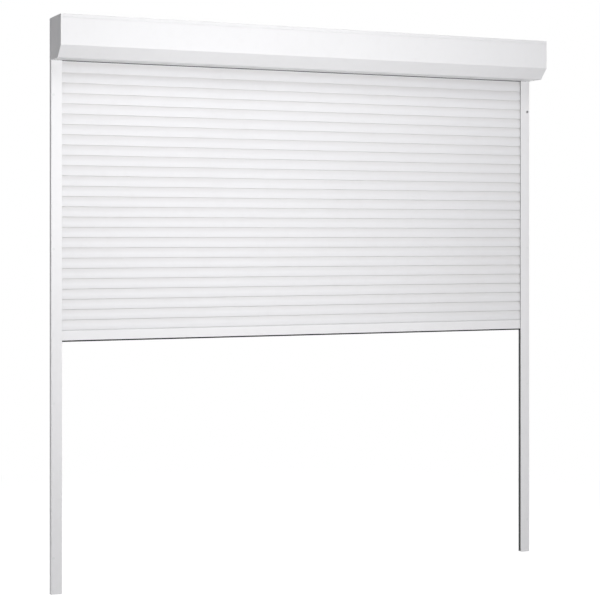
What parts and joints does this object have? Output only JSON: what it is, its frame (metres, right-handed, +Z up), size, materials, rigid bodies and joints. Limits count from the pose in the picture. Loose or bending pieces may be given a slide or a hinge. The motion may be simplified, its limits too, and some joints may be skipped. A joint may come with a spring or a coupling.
{
  "type": "exterior roller shutter",
  "caption": "White front-mounted exterior roller shutter: 45 degree box over two guide rails, with a hollow-slat curtain that a tubular motor lowers and raises.",
  "frame": {"origin": "centre of the four outer wall screws, on the wall plane behind the rails", "axes": "+X to the right along the box seen from outside, +Y into the wall, +Z up"},
  "size_m": [1.99, 0.15, 2.06],
  "materials": {
    "rail_lacquer": "satin white powder coat on extruded aluminium",
    "box_lacquer": "satin white stove lacquer on roll-formed aluminium",
    "slat_lacquer": "satin white stove lacquer on aluminium slats",
    "bar_lacquer": "satin white powder coat on extruded aluminium",
    "cast_lacquer": "satin white powder coat on die-cast aluminium",
    "white_plastic": "white moulded plastic",
    "clip_plastic": "grey moulded plastic",
    "black_plastic": "black moulded plastic",
    "black_rubber": "black extruded rubber",
    "brush_pile": "black woven pile strip",
    "screw_steel": "zinc-plated steel screws",
    "zinc_steel": "galvanised steel",
    "bearing_steel": "ground bearing steel",
    "spring_steel": "blued spring steel"
  },
  "bodies": {
    "frame": {"rail_left": "rail_lacquer", "rail_right": "rail_lacquer", "rail_foot_caps": "white_plastic", "rail_hole_caps": "white_plastic", "channel_liners": "black_plastic", "brush_left_front": "brush_pile", "brush_left_rear": "brush_pile", "brush_right_front": "brush_pile", "brush_right_rear": "brush_pile", "inlet_guide_left": "black_plastic", "inlet_guide_right": "black_plastic", "end_plate_left": "cast_lacquer", "end_plate_right": "cast_lacquer", "box_top_panel": "box_lacquer", "box_front_cover": "box_lacquer", "cover_screws": "screw_steel", "motor_bracket": "zinc_steel", "motor_head": "black_plastic", "motor_body": "zinc_steel", "bearing_bracket": "zinc_steel", "bearing": "bearing_steel"},
    "curtain": {"slat_01": "slat_lacquer", "slat_02": "slat_lacquer", "slat_03": "slat_lacquer", "slat_04": "slat_lacquer", "slat_05": "slat_lacquer", "slat_06": "slat_lacquer", "slat_07": "slat_lacquer", "slat_08": "slat_lacquer", "slat_09": "slat_lacquer", "slat_10": "slat_lacquer", "slat_11": "slat_lacquer", "slat_12": "slat_lacquer", "slat_13": "slat_lacquer", "slat_14": "slat_lacquer", "slat_15": "slat_lacquer", "slat_16": "slat_lacquer", "slat_17": "slat_lacquer", "slat_18": "slat_lacquer", "slat_19": "slat_lacquer", "slat_20": "slat_lacquer", "slat_21": "slat_lacquer", "slat_22": "slat_lacquer", "slat_23": "slat_lacquer", "slat_24": "slat_lacquer", "slat_25": "slat_lacquer", "slat_26": "slat_lacquer", "slat_27": "slat_lacquer", "slat_28": "slat_lacquer", "slat_clips_left": "clip_plastic", "slat_clips_right": "clip_plastic", "bottom_bar": "bar_lacquer", "bottom_seal": "black_rubber", "bar_end_caps": "clip_plastic"},
    "shaft": {"shaft_tube": "zinc_steel", "limit_ring": "black_plastic", "drive_wheel": "black_plastic", "idler_cap": "black_plastic", "curtain_hangers": "spring_steel", "wound_slats": "slat_lacquer"}
  },
  "joints": [
    {"name": "curtain_travel", "type": "slide", "parent": "frame", "child": "curtain", "axis": [0, 0, 1], "range_m": [-0.901, 0.074]},
    {"name": "shaft_turn", "type": "hinge", "parent": "frame", "child": "shaft", "pos_m": [0, -0.075, 1.027], "axis": [1, 0, 0], "range_deg": [-1250, 105]}
  ],
  "couplings": [
    {"joint": "shaft_turn", "follows": "curtain_travel", "rad_per_m": 24.1}
  ]
}
